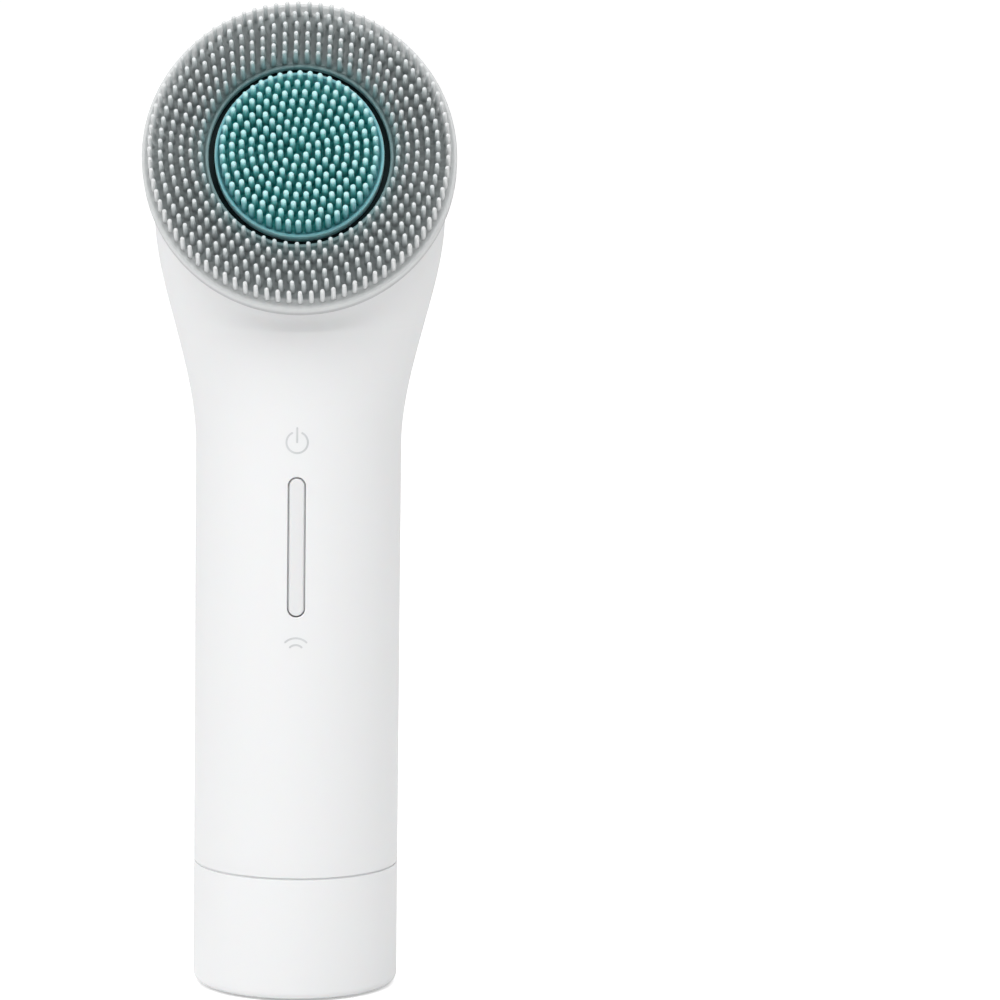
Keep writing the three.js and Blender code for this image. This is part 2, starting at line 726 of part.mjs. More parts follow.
// ---- Assembly ----
const brush = new THREE.Group();
const head = new THREE.Group();
head.position.copy(headFrame.position);
head.rotation.copy(headFrame.rotation);
brush.add(head);

function place(parent, name, geometry, finish, [x, y, z] = [0, 0, 0]) {
  const mesh = new THREE.Mesh(geometry, finish);
  mesh.name = name;
  mesh.position.set(x, y, z);
  parent.add(mesh);
  return mesh;
}

// The shell and the foot
place(brush, "main_shell", mainShell(), whitePlastic);
place(brush, "base_cap", baseCap(), whitePlastic);
place(brush, "foot_pad", rod(15.3, [0, 0.95], FINE), greySilicone);
place(brush, "end_plug", endPlug(), naturalPlastic);
place(brush, "cap_o_ring", sealRing(14.7, 15.85, [17.95, 19.25]), blackRubber);
place(brush, "charge_port", chargePort(), steel);
plugScrewPlaces.forEach(([x, y], i) => {
  const fastener = place(brush, `plug_screw_${i + 1}`, screw(1.7, 1.2, 0, 6), steel, [x, y, 20]);
  fastener.rotation.x = Math.PI;
});

// The key and the electronics
place(brush, "rocker_key", rockerKey(), keyPlastic);
place(brush, "key_pin", crossPin(0.6, 6, 12), steel);
place(brush, "key_frame", keyFrame(), naturalPlastic);
place(brush, "key_boot", keyBoot(), blackRubber);
place(brush, "power_switch", keySwitch(KEY_Z + SWITCH_OFFSET), darkPlastic);
place(brush, "speed_switch", keySwitch(KEY_Z - SWITCH_OFFSET), darkPlastic);
place(brush, "circuit_board", circuitBoard(), boardGreen);
place(brush, "control_chip", block([-3.5, 3.5], [BOARD_BACK + 0.1, -7], [56, 63]), darkPlastic);
place(brush, "power_light", boardLight(KEY_Z + LIGHT_OFFSET), gearPlastic);
place(brush, "speed_light", boardLight(KEY_Z - LIGHT_OFFSET), gearPlastic);
place(brush, "cell_sled", cellSled(), naturalPlastic);
place(brush, "battery_cell", cell(), cellWrap);
place(brush, "cell_lead_red", cellLead(1), redLead);
place(brush, "cell_lead_black", cellLead(-1), blackLead);
place(brush, "motor_lead_red", motorLead(1), redLead);
place(brush, "motor_lead_black", motorLead(-1), blackLead);

// The gearbox and the motor
const onMotorAxis = [motorAxis[0], motorAxis[1], 0];
const onWheelAxis = [wheelAxis[0], wheelAxis[1], 0];
const onIdlerAxis = [idlerAxis[0], idlerAxis[1], 0];
place(head, "gearbox_deck", gearboxDeck(), naturalPlastic);
place(head, "deck_seal", sealRing(21.8, 22.95, [-2.4, -1.6]), blackRubber);
place(head, "motor_plate", motorPlate(), steel);
place(head, "motor_can", motorCan(), steel, onMotorAxis);
place(head, "motor_shaft", rod(AXLE_RADIUS, [MOTOR[0] - 1.6, WHEEL[1] + 0.4], 12), steel, onMotorAxis);
place(head, "motor_pinion", motorPinion(), bronze, onMotorAxis);
place(head, "reduction_wheel", reductionWheel(), gearPlastic, onWheelAxis);
place(head, "wheel_axle", rod(AXLE_RADIUS, [PLATE[0] + 0.2, AXLE_TOP], 12), steel, onWheelAxis);
place(head, "idler_gear", idlerGear(), gearPlastic, onIdlerAxis);
place(head, "idler_axle", rod(AXLE_RADIUS, [DISC_GEAR[0] - 0.3, AXLE_TOP], 12), steel, onIdlerAxis);
place(head, "ring_gear", ringGear(), gearPlastic);
place(head, "disc_gear", discGear(), gearPlastic);
place(head, "disc_shaft", rod(DISC_SHAFT_RADIUS, [PLATE[0] - 0.6, 1.5], 24), steel);
place(head, "sleeve_bushing", sleeve(SLEEVE_RADIUS + 0.12, 6, [-4.5, -2.6], 32), bronze);
place(head, "rear_bushing", rearBushing(), bronze);
place(head, "sleeve_seal", sealRing(SLEEVE_RADIUS + 0.12, 7, [-2.25, -1.1], 32), blackRubber);
place(head, "shaft_seal", sealRing(DISC_SHAFT_RADIUS + 0.12, 3.35, [-1.45, 0], 24), blackRubber);
deckScrewPlaces.forEach(([x, y], i) => {
  place(head, `deck_screw_${i + 1}`, screw(1.8, 0.9, DECK[1] + 0.1, 5.5), steel, [x, y, 0]);
});
postPlaces.forEach(([x, y], i) => {
  const fastener = place(head, `gearbox_screw_${i + 1}`, screw(1.7, 1.1, 0, 6), steel, [x, y, PLATE[0] - 0.2]);
  fastener.rotation.x = Math.PI;
});
motorScrewPlaces.forEach(([x, y], i) => {
  place(head, `motor_screw_${i + 1}`, screw(1.4, 0.7, PLATE[1] + 0.1, 3.6), steel, [x, y, 0]);
});

// The two brushes
place(head, "ring_carrier", ringCarrier(), darkPlastic);
place(head, "ring_pad", ringPad(), greySilicone);
place(head, "disc_carrier", discCarrier(), darkPlastic);
place(head, "disc_pad", discPad(), tealSilicone);

export default brush;
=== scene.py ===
"""The looks of a facial cleansing brush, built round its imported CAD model.

Metres, +Z up, the front faces -Y. Lengths in this script are millimetres times MM.
The head's own axes are +X to the right, +Y up across the brush face and +Z along the brushes' axis.
"""

import itertools
import json
import math

import bpy
import numpy as np
from mathutils import Matrix, Vector


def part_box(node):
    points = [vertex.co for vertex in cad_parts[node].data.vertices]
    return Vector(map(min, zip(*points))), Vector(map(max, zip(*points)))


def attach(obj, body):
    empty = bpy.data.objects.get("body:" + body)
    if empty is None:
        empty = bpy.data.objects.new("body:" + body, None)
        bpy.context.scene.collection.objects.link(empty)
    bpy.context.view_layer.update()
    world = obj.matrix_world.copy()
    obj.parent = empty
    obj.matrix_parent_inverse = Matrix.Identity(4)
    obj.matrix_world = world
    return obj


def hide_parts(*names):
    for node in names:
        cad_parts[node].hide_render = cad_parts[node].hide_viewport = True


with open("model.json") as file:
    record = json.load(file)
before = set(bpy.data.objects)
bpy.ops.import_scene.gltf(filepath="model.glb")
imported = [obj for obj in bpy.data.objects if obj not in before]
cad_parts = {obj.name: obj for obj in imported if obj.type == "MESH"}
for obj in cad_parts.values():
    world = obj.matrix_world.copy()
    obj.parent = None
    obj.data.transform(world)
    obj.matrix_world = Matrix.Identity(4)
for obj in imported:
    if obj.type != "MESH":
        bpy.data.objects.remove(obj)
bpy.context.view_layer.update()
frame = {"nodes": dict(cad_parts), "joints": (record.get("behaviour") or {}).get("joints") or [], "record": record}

MM = 0.001
TAU = 2 * math.pi
JOINTS = {joint["name"]: joint for joint in frame["joints"]}

# ---- Sizes read from the frame ----
HEAD = Vector(JOINTS["outer_spin"]["pos_m"])
AXIS = Vector(JOINTS["outer_spin"]["axis"]).normalized()
HEAD_TILT = math.asin(AXIS.z)
FACE_UP = Vector((0, math.sin(HEAD_TILT), math.cos(HEAD_TILT)))
HANDLE_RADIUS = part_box("base_cap")[1].x
CAP_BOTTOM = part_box("base_cap")[0].z
CAP_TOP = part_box("base_cap")[1].z
SHELL_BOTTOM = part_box("main_shell")[0].z
HEAD_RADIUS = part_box("main_shell")[1].x
RING_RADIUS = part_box("ring_pad")[1].x
DISC_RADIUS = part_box("disc_pad")[1].x
KEY_LOW, KEY_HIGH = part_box("rocker_key")
KEY_HINGE = Vector(JOINTS["key_rock"]["pos_m"])

# ---- Sizes that match the CAD source ----
WALL = 2 * MM
PIVOT_REACH = 31 * MM
FLARE_START = 96.2 * MM
FLARE_END = 137.8 * MM
RING_HOLE = 15.65 * MM
FACE = 2.8 * MM  # the silicone surface the bristles grow from, above the shell's rim
TIPS = 9.7 * MM  # the tips of the bristles, above the shell's rim
RING_ROWS = (17 * MM, 18.6 * MM, 20.25 * MM, 22.05 * MM, 23.8 * MM, 25.6 * MM)
RING_LIP_TOP = 3.45 * MM  # low lips stand at the edges of the ring and the disc
HOLE_LIP_TOP = 3.6 * MM
DISC_LIP_TOP = 4.4 * MM
SKIRT_BOTTOM = -1.2 * MM  # the ring's edge reaches down past the shell's rim
SKIRT_INSIDE = 26 * MM
DISC_ROW_PITCH = 1.65 * MM
DISC_ROW_COUNT = 8
KEY_LENGTH = 24.1 * MM
KEY_WIDTH = 2.6 * MM
KEY_CLEARANCE = 0.25 * MM

# ---- Fineness ----
ROUND = 192  # facets round a large turned piece
HEAD_MATRIX = Matrix.Translation(HEAD) @ Matrix((Vector((1, 0, 0)), FACE_UP, AXIS)).transposed().to_4x4()


# ---- Mesh helpers ----
def make_object(name, points, faces):
    mesh = bpy.data.meshes.new(name)
    mesh.from_pydata([tuple(point) for point in points], [], faces)
    mesh.update()
    piece = bpy.data.objects.new(name, mesh)
    bpy.context.scene.collection.objects.link(piece)
    return piece


def smooth(piece, angle=35):
    mesh = piece.data
    mesh.polygons.foreach_set("use_smooth", [True] * len(mesh.polygons))
    mesh.set_sharp_from_angle(angle=math.radians(angle))
    return piece


def combine(piece, others, operation):
    """Joins or cuts with the closed meshes of the other objects, and removes those objects."""
    for other in others:
        modifier = piece.modifiers.new("combine", "BOOLEAN")
        modifier.operation = operation
        modifier.solver = "MANIFOLD"
        modifier.object = other
    graph = bpy.context.evaluated_depsgraph_get()
    graph.update()
    result = bpy.data.meshes.new_from_object(piece.evaluated_get(graph))
    piece.modifiers.clear()
    piece.data = result
    for other in others:
        bpy.data.objects.remove(other)
    return piece


def ring_faces(rings, count, closed):
    """Quads between rings of count points each; closed joins the last ring to the first."""
    faces = []
    for ring in range(rings if closed else rings - 1):
        here = ring * count
        there = ((ring + 1) % rings) * count
        for i in range(count):
            j = (i + 1) % count
            faces.append((here + i, here + j, there + j, there + i))
    return faces


def rounded(corners, steps=6):
    """The points of a closed outline whose corners are (r, s, fillet radius)."""
    outline = []
    for i, (r, s, fillet) in enumerate(corners):
        here = np.array((r, s))
        before = np.array(corners[i - 1][:2]) - here
        after = np.array(corners[(i + 1) % len(corners)][:2]) - here
        before = before / np.linalg.norm(before)
        after = after / np.linalg.norm(after)
        half = math.acos(float(np.clip(before @ after, -1, 1))) / 2
        if fillet == 0 or half > 0.49 * math.pi:
            outline.append(here)
            continue
        setback = fillet / math.tan(half)
        bisector = (before + after) / np.linalg.norm(before + after)
        centre = here + bisector * fillet / math.sin(half)
        start = here + before * setback - centre
        end = here + after * setback - centre
        sweep = math.atan2(start[0] * end[1] - start[1] * end[0], start @ end)
        for step in range(steps + 1):
            turn = sweep * step / steps
            spin = np.array(((math.cos(turn), -math.sin(turn)), (math.sin(turn), math.cos(turn))))
            outline.append(centre + spin @ start)
    return outline


def turned(name, outline, matrix=Matrix.Identity(4), facets=ROUND):
    """A solid of revolution.

    The outline lists (r, s) anticlockwise, and stays off the axis or touches it at both ends.
    """
    points, faces, rings = [], [], []
    angles = [TAU * i / facets for i in range(facets)]
    for r, s in outline:
        if r < 1e-9:
            rings.append([len(points)])
            points.append((0, 0, s))
            continue
        first = len(points)
        rings.append(list(range(first, first + facets)))
        points += [(r * math.cos(angle), r * math.sin(angle), s) for angle in angles]
    for here, there in zip(rings, rings[1:] + rings[:1]):
        if len(here) == 1 and len(there) == 1:
            continue
        for i in range(facets):
            j = (i + 1) % facets
            lower = [here[i % len(here)], here[j % len(here)]]
            upper = [there[j % len(there)], there[i % len(there)]]
            faces.append(tuple(dict.fromkeys(lower + upper)))
    piece = make_object(name, points, faces)
    piece.data.transform(matrix)
    return piece


def sector(name, inner, outer, angles, span, steps=12):
    """Part of a flat ring between two radii, two angles in degrees and two heights."""
    rings = []
    for step in range(steps + 1):
        angle = math.radians(angles[0] + (angles[1] - angles[0]) * step / steps)
        across = Vector((math.cos(angle), math.sin(angle), 0))
        corners = ((inner, span[0]), (inner, span[1]), (outer, span[1]), (outer, span[0]))
        rings += [across * r + Vector((0, 0, z)) for r, z in corners]
    faces = ring_faces(steps + 1, 4, False)
    last = steps * 4
    faces += [(3, 2, 1, 0), (last, last + 1, last + 2, last + 3)]
    return make_object(name, rings, faces)


def box_piece(name, low, high):
    corners = list(itertools.product(*zip(low, high)))
    faces = [(0, 1, 3, 2), (4, 6, 7, 5), (0, 4, 5, 1), (2, 3, 7, 6), (0, 2, 6, 4), (1, 5, 7, 3)]
    return make_object(name, corners, faces)


# ---- Shell ----
BEND = math.pi / 2 - HEAD_TILT
PIVOT = HEAD - PIVOT_REACH * FACE_UP


def ease(share):
    share = np.clip(share, 0, 1)
    return share * share * (3 - 2 * share)


def half_width(height):
    share = ease((height - FLARE_START) / (FLARE_END - FLARE_START))
    return HANDLE_RADIUS + (HEAD_RADIUS - HANDLE_RADIUS) * share


def bend_points(turns, angles, inset):
    """Points of the bent part: one for each turn round the section, each at its own lean."""
    blend = ease(angles / BEND)
    reach = -PIVOT.y + (PIVOT_REACH + PIVOT.y) * blend
    half_depth = HANDLE_RADIUS + (HEAD_RADIUS - HANDLE_RADIUS) * blend
    centre_z = PIVOT.z + reach * np.sin(angles)
    x = (half_width(centre_z) - inset) * np.cos(turns)
    out = reach + (half_depth - inset) * np.sin(turns)
    return np.stack((x, PIVOT.y + out * np.cos(angles), PIVOT.z + out * np.sin(angles)), axis=1)


def handle_points(turns, height, inset):
    x = (half_width(height) - inset) * np.cos(turns)
    y = (HANDLE_RADIUS - inset) * np.sin(turns)
    return np.stack((x, y, np.full_like(x, height)), axis=1)


def rim_points(turns, radius, s):
    base = np.array(HEAD) + s * np.array(AXIS)
    across = np.outer(np.cos(turns), (1, 0, 0)) + np.outer(np.sin(turns), FACE_UP)
    return base + radius * across


def skin(turns, inset, edge):
    """Rings of the shell's wall from the foot to the head, ending one edge radius short of each end."""
    rings = [handle_points(turns, z, inset) for z in np.linspace(SHELL_BOTTOM + edge, FLARE_START, 24)]
    rings += [handle_points(turns, z, inset) for z in np.linspace(FLARE_START, PIVOT.z, 20)[1:]]
    reach = PIVOT_REACH + (HEAD_RADIUS - inset) * np.sin(turns)
    last_lean = BEND - np.arctan(edge / reach)
    rings += [bend_points(turns, last_lean * share, inset) for share in np.linspace(0, 1, 72)[1:]]
    return rings


def main_shell():
    """One closed skin up the outside, over the rim and down the inside, less the key's slot."""
    turns = TAU * np.arange(ROUND) / ROUND
    outer_edge, inner_edge, foot_edge = 0.55 * MM, 0.3 * MM, 0.14 * MM
    quarter = np.linspace(0, math.pi / 2, 6)
    outer = skin(turns, 0, outer_edge)
    outer[0] = handle_points(turns, SHELL_BOTTOM + foot_edge, 0)
    rim_out = [
        rim_points(turns, HEAD_RADIUS - outer_edge * (1 - math.cos(a)), -outer_edge * (1 - math.sin(a)))
        for a in quarter[1:]
    ]
    inside = HEAD_RADIUS - WALL
    rim_in = [
        rim_points(turns, inside + inner_edge * (1 - math.sin(a)), -inner_edge * (1 - math.cos(a)))
        for a in quarter[:-1]
    ]
    inner = skin(turns, WALL, inner_edge)[::-1]
    foot_in, foot_out = [], []
    for a in quarter[1:]:
        height = SHELL_BOTTOM + foot_edge * (1 - math.sin(a))
        foot_in.append(handle_points(turns, height, WALL - foot_edge * (1 - math.cos(a))))
    for a in quarter[:-1]:
        height = SHELL_BOTTOM + foot_edge * (1 - math.cos(a))
        foot_out.append(handle_points(turns, height, foot_edge * (1 - math.sin(a))))
    rings = outer + rim_out + rim_in + inner + foot_in + foot_out
    piece = make_object("shell", np.concatenate(rings), ring_faces(len(rings), ROUND, True))
    combine(piece, [key_slot()], "DIFFERENCE")
    return smooth(piece, 40)


# ---- Key ----
KEY_SUNK = 0.05 * MM  # the key's face lies this far below the handle's
KEY_EDGE = 0.35 * MM  # radius round the key's face
KEY_STEP = 0.75 * MM  # depth of a wider step, which half closes the gap round the key
STEM_BACK = -14.6 * MM
FLANGE = (-15 * MM, -14.2 * MM)  # front to back
FLANGE_HALF = (3.7 * MM, 14 * MM)
FOOT_OFFSET = 10 * MM  # from the hinge to each foot that presses a switch
FOOT_HALF = 1.3 * MM
PIN_RADIUS = 0.75 * MM
BOSS_RADIUS = 1.15 * MM
BOSS_HALF = 3.4 * MM
SLOT_FLARE = 0.16 * MM


def capsule_points(width, length, steps=24):
    """The outline of a capsule standing on end, as (x, z) anticlockwise from the right."""
    radius = width / 2
    straight = (length - width) / 2
    points = []
    for end in (1, -1):
        for step in range(steps + 1):
            angle = math.pi * step / steps + (0 if end > 0 else math.pi)
            points.append((radius * math.cos(angle), end * straight + radius * math.sin(angle)))
    return points


def capsule_stack(name, layers):
    """A closed solid through capsules, each given as (width, length, y or a function of x)."""
    rings = []
    for width, length, depth in layers:
        for x, z in capsule_points(width, length):
            y = depth(x) if callable(depth) else depth
            rings.append((x, y, KEY_HINGE.z + z))
    count = len(capsule_points(1, 2))
    faces = ring_faces(len(layers), count, False)
    last = (len(layers) - 1) * count
    faces.append(tuple(range(count - 1, -1, -1)))
    faces.append(tuple(range(last, last + count)))
    return make_object(name, rings, faces)


def key_slot():
    width = KEY_WIDTH + 2 * KEY_CLEARANCE
    length = KEY_LENGTH + 2 * KEY_CLEARANCE
    surface = -math.sqrt(HANDLE_RADIUS**2 - (width / 2) ** 2)
    layers = [
        (width, length, HANDLE_RADIUS * -0.78),
        (width, length, surface + SLOT_FLARE * 0.8),
        (width + SLOT_FLARE, length + SLOT_FLARE, surface + SLOT_FLARE * 0.25),
        (width + 4 * SLOT_FLARE, length + 4 * SLOT_FLARE, surface - SLOT_FLARE * 1.2),
    ]
    return capsule_stack("key_slot", layers)


def key_face(drop):
    """How y follows x on a surface this far below the key's face."""
    return lambda x: -math.sqrt((HANDLE_RADIUS - KEY_SUNK - drop) ** 2 - x * x)


def key_cap():
    step_width, step_length = KEY_WIDTH + 0.36 * MM, KEY_LENGTH + 0.14 * MM
    layers = [
        (step_width, step_length, STEM_BACK),
        (step_width, step_length, key_face(KEY_STEP)),
        (KEY_WIDTH, KEY_LENGTH, key_face(KEY_STEP)),
        (KEY_WIDTH, KEY_LENGTH, key_face(KEY_EDGE)),
    ]
    for angle in np.linspace(0, math.pi / 2, 7)[1:]:
        inset = 2 * KEY_EDGE * (1 - math.cos(angle))
        layers.append((KEY_WIDTH - inset, KEY_LENGTH - inset, key_face(KEY_EDGE * (1 - math.sin(angle)))))
    for width in (1.4 * MM, 0.8 * MM, 0.2 * MM):
        layers.append((width, KEY_LENGTH - KEY_WIDTH + width, key_face(0)))
    return capsule_stack("key_cap", layers)


def hinge_rod(name, inner, outer, half):
    """A rod or a tube along the key's hinge."""
    along_x = Matrix.Translation(KEY_HINGE) @ Matrix.Rotation(math.pi / 2, 4, "Y")
    return turned(name, [(inner, -half), (outer, -half), (outer, half), (inner, half)], along_x, 48)


def rocker_key():
    half_x, half_z = FLANGE_HALF
    low = (-half_x, FLANGE[0], KEY_HINGE.z - half_z)
    high = (half_x, FLANGE[1], KEY_HINGE.z + half_z)
    additions = [box_piece("flange", low, high)]
    for end in (-1, 1):
        middle = KEY_HINGE.z + end * FOOT_OFFSET
        low = (-FOOT_HALF, -14.5 * MM, middle - FOOT_HALF)
        high = (FOOT_HALF, KEY_HINGE.y + 0.9 * MM, middle + FOOT_HALF)
        additions.append(box_piece("foot", low, high))
    piece = combine(key_cap(), additions, "UNION")
    combine(piece, [hinge_rod("boss", PIN_RADIUS, BOSS_RADIUS, BOSS_HALF)], "UNION")
    combine(piece, [hinge_rod("bore", 0, PIN_RADIUS, 8 * MM)], "DIFFERENCE")
    return smooth(piece, 40)


# ---- Printed marks: thin inlays on the handle's face ----
MARK_HEIGHT = 0.03 * MM
MARK_LINE = 0.34 * MM


def wrapped(x, z, lift):
    """A point of the flat drawing (x, z) laid round the handle."""
    angle = x / HANDLE_RADIUS
    radius = HANDLE_RADIUS + lift
    return (radius * math.sin(angle), -radius * math.cos(angle), z)


def stroke(name, path, width):
    """A line of even width along a flat path, with round ends, laid on the handle."""
    path = [np.array(point, float) for point in path]
    half = width / 2
    left, right = [], []
    for i, point in enumerate(path):
        ahead = path[min(i + 1, len(path) - 1)] - path[max(i - 1, 0)]
        ahead = ahead / np.linalg.norm(ahead)
        side = np.array((-ahead[1], ahead[0])) * half
        left.append(point + side)
        right.append(point - side)
    direction = path[-1] - path[-2]
    end_cap = round_end(path[-1], direction, half)
    start_cap = round_end(path[0], path[0] - path[1], half)
    outline = right + end_cap + left[::-1] + start_cap
    count = len(outline)
    points = [wrapped(x, z, lift) for lift in (-MARK_HEIGHT, MARK_HEIGHT) for x, z in outline]
    faces = [(i, (i + 1) % count, (i + 1) % count + count, i + count) for i in range(count)]
    steps = len(path)
    caps = len(end_cap)
    for i in range(steps - 1):
        a, b = i, i + 1
        c, d = 2 * steps + caps - 2 - i, 2 * steps + caps - 1 - i
        faces.append((d, c, b, a))
        faces.append((a + count, b + count, c + count, d + count))
    end = list(range(steps - 1, steps + caps + 1))
    start = list(range(2 * steps + caps - 1, count)) + [0]
    for loop in (end, start):
        faces.append(tuple(loop[::-1]))
        faces.append(tuple(i + count for i in loop))
    return make_object(name, points, faces)


def round_end(point, direction, half, steps=6):
    base = math.atan2(direction[1], direction[0]) - math.pi / 2
    turns = [base + math.pi * step / (steps + 1) for step in range(1, steps + 1)]
    return [point + half * np.array((math.cos(turn), math.sin(turn))) for turn in turns]


def arc(centre, radius, start, end, steps=40):
    angles = np.radians(np.linspace(start, end, steps + 1))
    return [(centre[0] + radius * math.cos(a), centre[1] + radius * math.sin(a)) for a in angles]


def power_mark():
    centre = (0, KEY_HINGE.z + 18.4 * MM)
    ring = arc(centre, 1.85 * MM, 90 + 28, 450 - 28, 72)
    bar = [(0, centre[1] + rise * MM) for rise in (0.05, 1.2, 2.5)]
    return [stroke("power_mark", ring, MARK_LINE), stroke("power_bar", bar, MARK_LINE)]


def wave_mark():
    centre = (0, KEY_HINGE.z - 18.55 * MM)
    upper = arc(centre, 2.65 * MM, 90 + 44, 90 - 44)
    lower = arc(centre, 1.45 * MM, 90 + 44, 90 - 44)
    return [stroke("wave_upper", upper, MARK_LINE), stroke("wave_lower", lower, MARK_LINE)]


# ---- Brushes ----
def bristle_profile(base, root, tip):
    """(r, s) up one bristle: a flared root, a slight taper and a round end."""
    taper = tip / root
    profile = [(root * 1.55, base - 0.35 * MM), (root * 1.55, base - 0.02 * MM)]
    profile += [(root * (1 + 0.5 * math.exp(-k * 1.2)), base + k * 0.14 * MM) for k in range(5)]
    shaft_top = TIPS - tip
    profile.append((root * (1 + taper) / 2, (base + shaft_top) / 2))
    profile.append((tip, shaft_top))
    for angle in np.radians((25, 45, 62, 78)):
        profile.append((tip * math.cos(angle), shaft_top + tip * math.sin(angle)))
    return profile


def bristles(name, places, base, root, tip, facets=14):
    """Every bristle of one pad as one mesh, in the head's axes."""
    profile = bristle_profile(base, root, tip)
    levels = len(profile)
    turns = TAU * np.arange(facets) / facets
    single = np.array([(r * math.cos(t), r * math.sin(t), s) for r, s in profile for t in turns])
    single = np.vstack((single, [(0, 0, TIPS)]))
    sides = ring_faces(levels, facets, False)
    top = levels * facets
    crown = [(top - facets + i, top - facets + (i + 1) % facets, top) for i in range(facets)]
    bottom = tuple(range(facets - 1, -1, -1))
    own = sides + crown + [bottom]
    points = np.concatenate([single + (x, y, 0) for x, y in places])
    faces = [tuple(i + k * len(single) for i in face) for k in range(len(places)) for face in own]
    piece = make_object(name, points, faces)
    piece.data.transform(HEAD_MATRIX)
    return piece


# For each row of the ring from the hole outwards: how many bristles, and the angle of its first one
RING_COUNTS = (55, 60, 65, 70, 76, 84)
RING_PHASES = (92.7, 92.3, 92.1, 91.7, 92.5, 91.0)


def ring_places():
    places = []
    for radius, count, phase in zip(RING_ROWS, RING_COUNTS, RING_PHASES):
        turns = math.radians(phase) + TAU * np.arange(count) / count
        places += [(radius * math.cos(t), radius * math.sin(t)) for t in turns]
    return places


def disc_places():
    """Row n holds 6n bristles, and all rows line up in one direction."""
    lined_up = math.radians(15)
    places = []
    for row in range(1, DISC_ROW_COUNT + 1):
        radius = row * DISC_ROW_PITCH
        turns = lined_up + TAU * np.arange(6 * row) / (6 * row)
        places += [(radius * math.cos(t), radius * math.sin(t)) for t in turns]
    return places


def millimetres(corners):
    return [(r * MM, s * MM, fillet * MM) for r, s, fillet in corners]


def ring_pad():
    outer, hole, face = RING_RADIUS / MM, RING_HOLE / MM, FACE / MM
    top, hole_top = RING_LIP_TOP / MM, HOLE_LIP_TOP / MM
    skirt, low = SKIRT_INSIDE / MM, SKIRT_BOTTOM / MM
    outline = rounded(millimetres([
        (hole, 1.85, 0.2), (24.6, 1.85, 0), (24.6, 0.6, 0), (skirt, 0.6, 0),
        (skirt, low, 0.15), (outer, low, 0.5),
        (outer, top, 0.3), (outer - 0.55, top, 0.3), (outer - 1.5, face, 0.9),
        (hole + 0.85, face, 0.3), (hole + 0.55, hole_top, 0.25), (hole, hole_top, 0.25),
    ]))
    pad = turned("bristle_ring", outline, HEAD_MATRIX)
    field = bristles("ring_bristles", ring_places(), FACE, 0.46 * MM, 0.37 * MM)
    return smooth(combine(pad, [field], "UNION"), 50)


def disc_pad():
    outer = DISC_RADIUS / MM
    face = FACE / MM - 0.1
    top = DISC_LIP_TOP / MM
    outline = rounded(millimetres([
        (0, 2.15, 0), (outer - 0.75, 2.15, 0), (outer - 0.75, 0.9, 0), (outer, 0.9, 0.2),
        (outer, top, 0.3), (outer - 0.5, top, 0.25), (outer - 0.85, face, 0.3), (0, face, 0),
    ]))
    pad = turned("bristle_disc", outline, HEAD_MATRIX)
    field = bristles("disc_bristles", disc_places(), face * MM, 0.52 * MM, 0.47 * MM)
    return smooth(combine(pad, [field], "UNION"), 50)


def ring_cup():
    outline = rounded(millimetres([
        (4.8, -0.6, 0), (16.9, -0.6, 0.2), (16.9, 0.6, 0.2), (24.4, 0.6, 0.2), (24.4, 1.7, 0.2),
        (15.9, 1.7, 0.2), (15.9, 0.3, 0.3), (4.8, 0.3, 0),
    ]))
    return smooth(turned("ring_cup", outline, HEAD_MATRIX))


def disc_cup():
    outline = rounded(millimetres([
        (0, 1.6, 0), (2.15, 1.6, 0), (2.15, 0.45, 0), (3.6, 0.45, 0.1), (3.6, 0.7, 0.1),
        (13.7, 0.7, 0.25), (13.7, 2, 0.2), (0, 2, 0),
    ]))
    return smooth(turned("disc_cup", outline, HEAD_MATRIX))


# ---- Foot ----
def base_cap():
    """The cup at the foot. A tongue on its top edge half closes the seam below the shell."""
    radius = HANDLE_RADIUS / MM
    top = CAP_TOP / MM
    outline = rounded(millimetres([
        (0, 1.15, 0), (15.6, 1.15, 0), (15.6, 0.3, 0.15), (radius, CAP_BOTTOM / MM, 1.5),
        (radius, top, 0.12), (radius - 0.3, top, 0), (radius - 0.3, top + 0.22, 0.05),
        (radius - 1.9, top + 0.22, 0.1), (radius - 2, 2.8, 0.6), (0, 2.8, 0),
    ]), 8)
    cap = turned("cap_shell", outline)
    lugs = [
        sector("lug", 14.6 * MM, 16.4 * MM, (angle - 8, angle + 8), (12.1 * MM, 13.9 * MM))
        for angle in (0, 120, 240)
    ]
    return smooth(combine(cap, lugs, "UNION"), 40)


def foot_pad():
    """A round rubber foot with shallow ring grooves in its underside."""
    outline = [(0, 0.95), (0, 0)]
    for groove in (5, 8, 11):
        outline += [(groove, 0), (groove + 0.2, 0.25), (groove + 0.8, 0.25), (groove + 1, 0)]
    outline += [(15, 0), (15.3, 0.3), (15.3, 0.95)]
    return smooth(turned("foot_rubber", [(r * MM, s * MM) for r, s in outline]))


